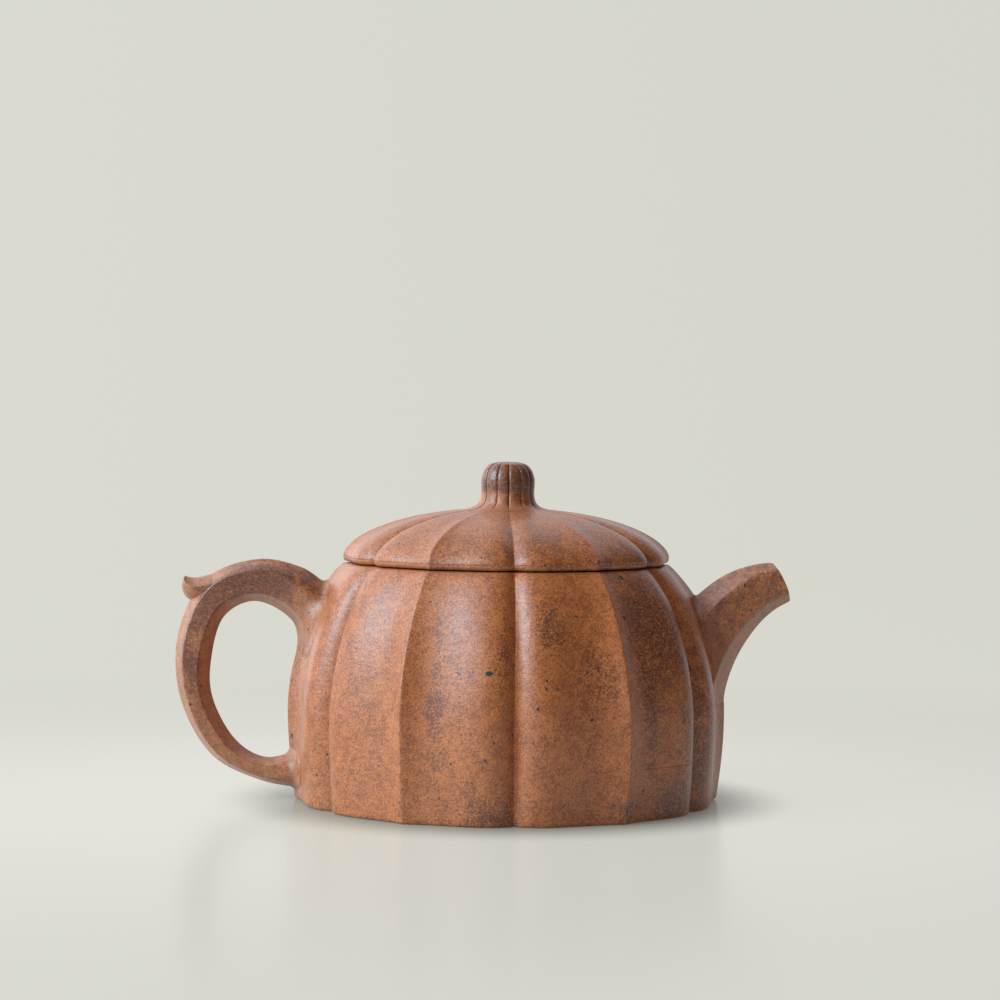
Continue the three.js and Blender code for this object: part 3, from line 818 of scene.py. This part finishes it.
def handle():
    along = np.linspace(0, 1, HANDLE_ROWS)
    width = spline(np.array(HANDLE_HALF_WIDTHS)[:, None], along)[:, 0]
    outer, inner = spline(HANDLE_OUTER, along), spline(HANDLE_INNER, along)
    low = spline(np.array(HANDLE_LOW_SHOULDERS)[:, None], along)[:, 0]
    near_root = smooth(along, 0.2, 0.06) + smooth(along, 0.88, 0.97)
    reach = np.array(HANDLE_EASING) + np.array(HANDLE_ROOT_EASING) * near_root[:, None]
    rows, _ = section_rows(outer, inner, width, (HANDLE_HIGH_SHOULDER, low), reach, 0)
    half = HANDLE_ROWS // 2
    upper, lower = fillet(rows[:half], HANDLE_UPPER_FILLET), fillet(rows[half:], HANDLE_LOWER_FILLET)
    rows = np.concatenate([upper, lower])
    made = new_object("handle_skin", skin_mesh("handle_skin", rows, False))
    return combine(made, [body_blank("inside", BURIED)], "DIFFERENCE")


def thumb_curl():
    """A leaf-like rest for the thumb: hollow above its rim, round below it, and curling up to a point."""
    along = np.linspace(0, 0.985, CURL_ROWS)
    ridge, rim, keel = (bezier(rail, along) for rail in (CURL_RIDGE, CURL_RIM, CURL_KEEL))
    width = CURL_HALF_WIDTH * (1 - along ** 3) ** 0.5

    def side(turn):
        """Points down one side: a shallow hollow from ridge to rim, then a full round to the keel."""
        upper = np.clip(turn * 2, 0, 1)[None, :, None]
        lower = np.clip(turn * 2 - 1, 0, 1)[None, :, None]
        hollow = upper ** 1.25
        line = ridge[:, None] * (1 - hollow) + rim[:, None] * hollow
        belly = 1 - np.cos(lower * math.pi / 2)
        line = line + (keel - rim)[:, None] * (belly * 0.35 + np.sin(lower * math.pi / 2) * 0.65)
        across = upper[..., 0] * np.cos(lower[..., 0] * math.pi / 2) * width[:, None]
        return np.stack([line[..., 0], across, line[..., 1]], -1)

    near = side(np.linspace(0, 1, 19))
    far = near[:, -2:0:-1] * (1, -1, 1)
    rows = np.concatenate([near, far], axis=1)
    return new_object("thumb_curl_skin", skin_mesh("thumb_curl_skin", rows, False))


# ---- lid pieces ----------------------------------------------------------------------------------

LID_SECTION = petal_section(COLUMN_PLACE, FLANK_FOOT)
LID_GROOVE = (1 - np.hypot(COLUMN_PLACE, GROOVE_SOFTNESS)) ** GROOVE_SHARPNESS
LID_UNDERSIDE = PLATE_TOP + 0.02


def lid_rows(radius, height, inward, down, crown=0.0):
    """Rows of the lid, sunk by its flutes, and by its grooves alone where the flutes run out."""
    radius, height, inward, down = (np.asarray(v, float)[:, None] for v in (radius, height, inward, down))
    lower = down * LID_SECTION + np.asarray(crown)[..., None] * LID_GROOVE
    return around(radius - inward * LID_SECTION, COLUMN_ANGLE[None, :], height - lower)


def lid_dome():
    """A closed skin: up the outside to the air hole, down the hole and back along the underside."""
    radius = DOME_RADIUS * np.sin(np.linspace(math.pi / 2, math.asin(AIR_HOLE_RADIUS / DOME_RADIUS), 72))
    share = radius / DOME_RADIUS
    across, up = DOME_POWERS
    height = DOME_BASE + (DOME_RISE + DOME_CROWN) * np.clip(1 - share ** across, 0, 1) ** (1 / up)
    slope = np.stack([np.gradient(radius), np.gradient(height)])
    slope /= np.linalg.norm(slope, axis=0)
    depth = DOME_FLUTE * share ** DOME_FLUTE_FADE
    crown = CROWN_GROOVE * (1 - share ** 2) * smooth(radius, 1, 8)
    outside = lid_rows(radius, height, depth * slope[1], -depth * slope[0], crown)

    under = np.linspace(math.asin(AIR_HOLE_RADIUS / DOME_INNER_RADIUS), math.pi / 2, 24)
    under_height = LID_UNDERSIDE + DOME_INNER_RISE * np.cos(under)
    inside = lid_rows(DOME_INNER_RADIUS * np.sin(under), under_height, np.zeros(24), np.zeros(24))
    edge = lid_rows([DOME_RADIUS - 0.06, DOME_RADIUS - 0.03], [LID_UNDERSIDE, LID_UNDERSIDE + 0.04],
                    [DOME_FLUTE] * 2, [0, 0])
    rows = np.concatenate([outside, inside, edge])
    return new_object("lid_dome_skin", skin_mesh("lid_dome_skin", rows, True))


# the plate's edge, as (out from its radius, down from its top)
PLATE_EDGE = [(-0.02, 0), (0, 0.05), (-0.02, 0.4), (-0.14, 0.72), (-0.36, 0.97), (-0.7, 1.14), (-1.1, 1.2)]


def lid_rim_plate():
    """The plate under the dome: its edge draws in towards the seam."""
    edge = np.array(PLATE_EDGE)
    radius = RIM_RADIUS + 0.15 + edge[:, 0]
    inner = FLANGE_RADIUS + 0.3
    height = np.append(PLATE_TOP - edge[:, 1], [PLATE_BOTTOM, PLATE_TOP])
    inward = np.append(np.full(len(edge), DOME_FLUTE), [0, 0])
    rows = lid_rows(np.append(radius, [inner, inner]), height, inward, np.zeros(len(edge) + 2))
    return new_object("lid_rim_skin", skin_mesh("lid_rim_skin", rows, True))


def lid_flange():
    """The collar under the lid that drops into the mouth."""
    drop, inset = quarter_round(0.6, 4)
    under_dome = DOME_INNER_RISE * math.sqrt(1 - (FLANGE_RADIUS / DOME_INNER_RADIUS) ** 2)
    top = LID_UNDERSIDE + under_dome - 0.1
    inner = FLANGE_RADIUS - FLANGE_WALL
    radius = np.concatenate([FLANGE_RADIUS - inset, [FLANGE_RADIUS, inner], inner + inset[::-1]])
    height = np.concatenate([FLANGE_BOTTOM + drop, [top, top + 1.5], FLANGE_BOTTOM + drop[::-1]])
    rows = lid_rows(radius, height, np.zeros(len(radius)), np.zeros(len(radius)))
    return new_object("lid_flange_skin", skin_mesh("lid_flange_skin", rows, True))


def knob_columns():
    """Angle, notch form and notch depth of each column round the knob."""
    notch = np.radians(np.arange(KNOB_LOBES) * 360 / KNOB_LOBES + NOTCH_DRIFT)
    following = np.append(notch[1:], notch[0] + 2 * math.pi)
    rising = (np.arange(STEPS_PER_HALF_LOBE) / STEPS_PER_HALF_LOBE) ** 1.5
    falling = (1 - np.arange(STEPS_PER_HALF_LOBE) / STEPS_PER_HALF_LOBE) ** 1.5
    share = np.concatenate([rising / 2, 1 - falling / 2])
    place = np.concatenate([rising, falling])
    angle = notch[:, None] + (following - notch)[:, None] * share
    deep = np.where(np.arange(KNOB_LOBES) % 2 == 0, 1.0, SHALLOW_NOTCH)
    depth = np.concatenate([np.repeat(deep[:, None], STEPS_PER_HALF_LOBE, 1),
                            np.repeat(np.roll(deep, -1)[:, None], STEPS_PER_HALF_LOBE, 1)], 1)
    form = 0.72 * (1 - place) ** 9 + 0.28 * (1 - place) ** 2
    return angle.ravel(), (form * depth).ravel()


def notched_skin(name, line, steps, fade):
    """A closed skin round the air hole: along a notched outer line, then back up inside."""
    angle, notch = knob_columns()
    points = spline(line, np.linspace(0, 1, steps))
    slope = np.gradient(points, axis=0)
    slope /= np.linalg.norm(slope, axis=1)[:, None]
    sink = NOTCH_DEPTH * fade(points)[:, None] * notch
    radius = points[:, :1] - sink * slope[:, 1:]
    height = KNOB_TOP - points[:, 1:] - sink * slope[:, :1]
    outside = around(radius, angle[None, :], height)
    low, high = KNOB_TOP - points[-1, 1], KNOB_TOP - points[0, 1]
    hole = around(np.full((2, 1), AIR_HOLE_RADIUS), angle[None, :], np.array([[low], [high]]))
    return new_object(name, skin_mesh(name, np.concatenate([outside, hole]), True))


def knob():
    def fade(points):
        return smooth(points[:, 0], 2.4, 5.6)

    return notched_skin("knob_skin", KNOB_LINE, 60, fade)


def knob_collar():
    def fade(points):
        return 1 - 0.8 * smooth(points[:, 1], 9.3, 12)

    return notched_skin("knob_collar_skin", COLLAR_LINE, 16, fade)


# ---- pieces --------------------------------------------------------------------------------------

finish_piece(body_wall(), "body_wall", "pot", RED, cloud_smoke)
finish_piece(base_plate(), "base_plate", "pot", RED, plain_smoke)
finish_piece(mouth_ring(), "mouth_ring", "pot", RED, plain_smoke)
finish_piece(strainer(), "strainer", "pot", RED, plain_smoke)
finish_piece(spout(), "spout", "pot", BROWN, spout_smoke)
finish_piece(handle(), "handle", "pot", DARK, handle_smoke)
finish_piece(thumb_curl(), "handle_thumb_curl", "pot", DARK, handle_smoke)
finish_piece(lid_dome(), "lid_dome", "lid", SHADED_LID_RED, lid_smoke_and_shade)
finish_piece(lid_rim_plate(), "lid_rim_plate", "lid", SHADED_LID_RED, lid_smoke_and_shade)
finish_piece(lid_flange(), "lid_flange", "lid", RED, plain_smoke)
finish_piece(knob_collar(), "knob_collar", "lid", BROWN, knob_smoke_and_shade)
finish_piece(knob(), "knob", "lid", BROWN, knob_smoke_and_shade)


# ---- floor, backdrop, light and camera -----------------------------------------------------------

FLOOR_RADIUS = 900.0
BACKDROP_RADIUS = 1700.0
BACKDROP_HEIGHT = 1500.0
PAPER_COLOUR = colour(0.73, 0.73, 0.66)
PAPER_BASE = colour(0.20, 0.212, 0.180)
# share of the paper's brightness that doesn't depend on the lamps: at the foot (lower, a painted contact
# shadow), beyond it and far off
PAPER_GLOW_IN_PAINTED_SHADOW = 0.14
PAPER_GLOW_NEAR = 0.745
PAPER_GLOW_FAR = 0.925
PAPER_GLOSS = 0.18
PAPER_GLOSS_ROUGHNESS = 0.22
# distances from the pot's axis over which each of them changes
PAINTED_SHADOW_REACH = (48.0, 73.0)
NEAR_REACH = (130.0, 340.0)
GLOSS_REACH = (70.0, 320.0)
PAINTED_LIGHT_FALL = (-700.0, 700.0, 1.03, 0.96)  # painted fall-off of the light from the left: x from, to, brightness from, to
SURROUND_COLOUR = colour(1.0, 0.58, 0.45)
SURROUND_STRENGTH = 0.11
SKY_COLOUR = colour(0.95, 0.95, 1.0)
SKY_BEHIND = (0.15, 0.85, 0.0, 0.70)  # direction from, to, strength from, to
SKY_LEFT = (0.2, -0.8, 0.0, 1.54)
LIGHT_DISTANCE = 1450.0
LIGHT_TARGET = (0, 0, 40)
# name, azimuth from the front towards the spout, elevation, size, watts, tint
LIGHTS = [
    ("key", -65, 34, 850, 15.5, (0.78, 0.94, 1.0)),
    ("high", -75, 60, 900, 0.8, (0.92, 0.97, 1.0)),
    ("back", 155, 35, 1300, 0.4, (1.0, 0.98, 0.95)),
]

CAMERA_AZIMUTH = math.radians(2.75)
CAMERA_DISTANCE = 725.0
CAMERA_HEIGHT = 99.0
CAMERA_YAW = math.radians(2.75)
CAMERA_PITCH = math.radians(2.01)
CAMERA_ROLL = 0.010
CAMERA_LENS = 106.5
CAMERA_SHIFT = -0.0072


def plain_paper():
    """Pale paper. Far from the pot its own even glow takes over from the lamps, and its gloss runs out.
    Round the foot the glow drops, painting a contact shadow, and from left to right it fades, painting the
    light's fall-off.
    """
    material = bpy.data.materials.new("paper")
    tree = Tree(material)
    tooth = tree.noise(tree.place(), 1.4, 3.0)
    bump = tree.add("ShaderNodeBump", None, {"Height": tooth, "Strength": 0.1, "Distance": 0.02 * MM})
    place = tree.add("ShaderNodeSeparateXYZ", None, {"Vector": tree.place()})
    squares = [tree.math("POWER", place.outputs[axis], 2.0) for axis in "XY"]
    out = tree.math("SQRT", tree.math("ADD", *squares), 0.0)
    # the glow drops round the pot's foot: a painted contact shadow on top of the lamps' own shadow
    foot = tree.ramp(out, *PAINTED_SHADOW_REACH, PAPER_GLOW_IN_PAINTED_SHADOW - PAPER_GLOW_NEAR, 0.0)
    glow = tree.math("ADD", foot, tree.ramp(out, *NEAR_REACH, PAPER_GLOW_NEAR, PAPER_GLOW_FAR))
    # the glow fades from left to right: painted fall-off of the light from the left
    across = tree.ramp(place.outputs["X"], *PAINTED_LIGHT_FALL)
    matt = tree.add("ShaderNodeBsdfPrincipled", None, {
        "Base Color": tree.mix(glow, PAPER_BASE, colour(0, 0, 0)),
        "Emission Color": PAPER_COLOUR, "Emission Strength": tree.math("MULTIPLY", glow, across),
        "Roughness": 0.8, "Specular IOR Level": 0.0})
    gloss = tree.add("ShaderNodeBsdfAnisotropic", None, {
        "Color": tree.ramp(out, *GLOSS_REACH, PAPER_GLOSS, 0.0),
        "Normal": bump.outputs["Normal"], "Roughness": PAPER_GLOSS_ROUGHNESS})
    both = tree.add("ShaderNodeAddShader", None, {0: matt.outputs["BSDF"], 1: gloss.outputs["BSDF"]})
    output = tree.add("ShaderNodeOutputMaterial")
    tree.links.new(both.outputs["Shader"], output.inputs["Surface"])
    return material


def disc_of_revolution(name, line, material):
    """An open surface turned round the upright axis from (radius, height) points."""
    line = np.array(line, float)
    angle = np.arange(128) * 2 * math.pi / 128
    grid = around(line[:, :1], angle[None, :], line[:, 1:])
    mesh = bpy.data.meshes.new(name)
    mesh.from_pydata((grid.reshape(-1, 3) * MM).tolist(), [], grid_faces(len(line), 128, False))
    mesh.shade_smooth()
    mesh.materials.append(material)
    made = new_object(name, mesh)
    return made


def studio():
    paper = plain_paper()
    disc_of_revolution("floor", [(0.01, 0), (200, 0), (500, 0), (FLOOR_RADIUS, 0)], paper)
    turn = np.linspace(0, math.pi / 2, 24)
    curve = BACKDROP_RADIUS - FLOOR_RADIUS
    sweep = np.stack([FLOOR_RADIUS + curve * np.sin(turn), curve * (1 - np.cos(turn))], -1)
    line = np.vstack([sweep, [(BACKDROP_RADIUS, BACKDROP_HEIGHT)]])
    wall = disc_of_revolution("backdrop", line, paper)
    for way in ("visible_shadow", "visible_diffuse", "visible_glossy", "visible_transmission"):
        setattr(wall, way, False)


def soft_light(name, azimuth, elevation, size, watts, tint):
    azimuth, elevation = math.radians(azimuth), math.radians(elevation)
    place = np.array([math.cos(elevation) * math.sin(azimuth), -math.cos(elevation) * math.cos(azimuth),
                      math.sin(elevation)]) * LIGHT_DISTANCE
    light = bpy.data.lights.new(name, "AREA")
    light.shape = "DISK"
    light.size = size * MM
    light.energy = watts
    light.color = tint
    made = bpy.data.objects.new(name, light)
    made.location = place * MM
    towards = Vector(LIGHT_TARGET) - Vector(place)
    made.rotation_euler = towards.to_track_quat("-Z", "Y").to_euler()
    made.visible_camera = False
    bpy.context.scene.collection.objects.link(made)


def sky():
    """Dim light from all round, and brighter light from behind the pot and from its left."""
    world = bpy.data.worlds.new("studio")
    tree = Tree(world)
    looking = tree.add("ShaderNodeTexCoord").outputs["Generated"]
    way = tree.add("ShaderNodeSeparateXYZ", None, {"Vector": looking})
    behind = tree.ramp(way.outputs["Y"], *SKY_BEHIND)
    left = tree.ramp(way.outputs["X"], *SKY_LEFT)
    bright = tree.add("ShaderNodeBackground", None, {
        "Color": SKY_COLOUR, "Strength": tree.math("ADD", behind, left)})
    dim = tree.add("ShaderNodeBackground", None, {"Color": SURROUND_COLOUR, "Strength": SURROUND_STRENGTH})
    both = tree.add("ShaderNodeAddShader", None, {
        0: bright.outputs["Background"], 1: dim.outputs["Background"]})
    output = tree.add("ShaderNodeOutputWorld")
    tree.links.new(both.outputs["Shader"], output.inputs["Surface"])
    bpy.context.scene.world = world


def camera():
    data = bpy.data.cameras.new("camera")
    data.lens = CAMERA_LENS
    data.shift_x = CAMERA_SHIFT
    data.clip_end = 10
    made = bpy.data.objects.new("camera", data)
    side = math.sin(CAMERA_AZIMUTH), math.cos(CAMERA_AZIMUTH)
    made.location = np.array([-CAMERA_DISTANCE * side[0], -CAMERA_DISTANCE * side[1], CAMERA_HEIGHT]) * MM
    facing = Euler((math.pi / 2 - CAMERA_PITCH, 0, -CAMERA_YAW)).to_matrix()
    made.rotation_euler = (facing @ Matrix.Rotation(CAMERA_ROLL, 3, "Z")).to_euler()
    bpy.context.scene.collection.objects.link(made)
    bpy.context.scene.camera = made


studio()
for light in LIGHTS:
    soft_light(*light)
sky()
camera()
bpy.context.scene.view_settings.view_transform = "Standard"
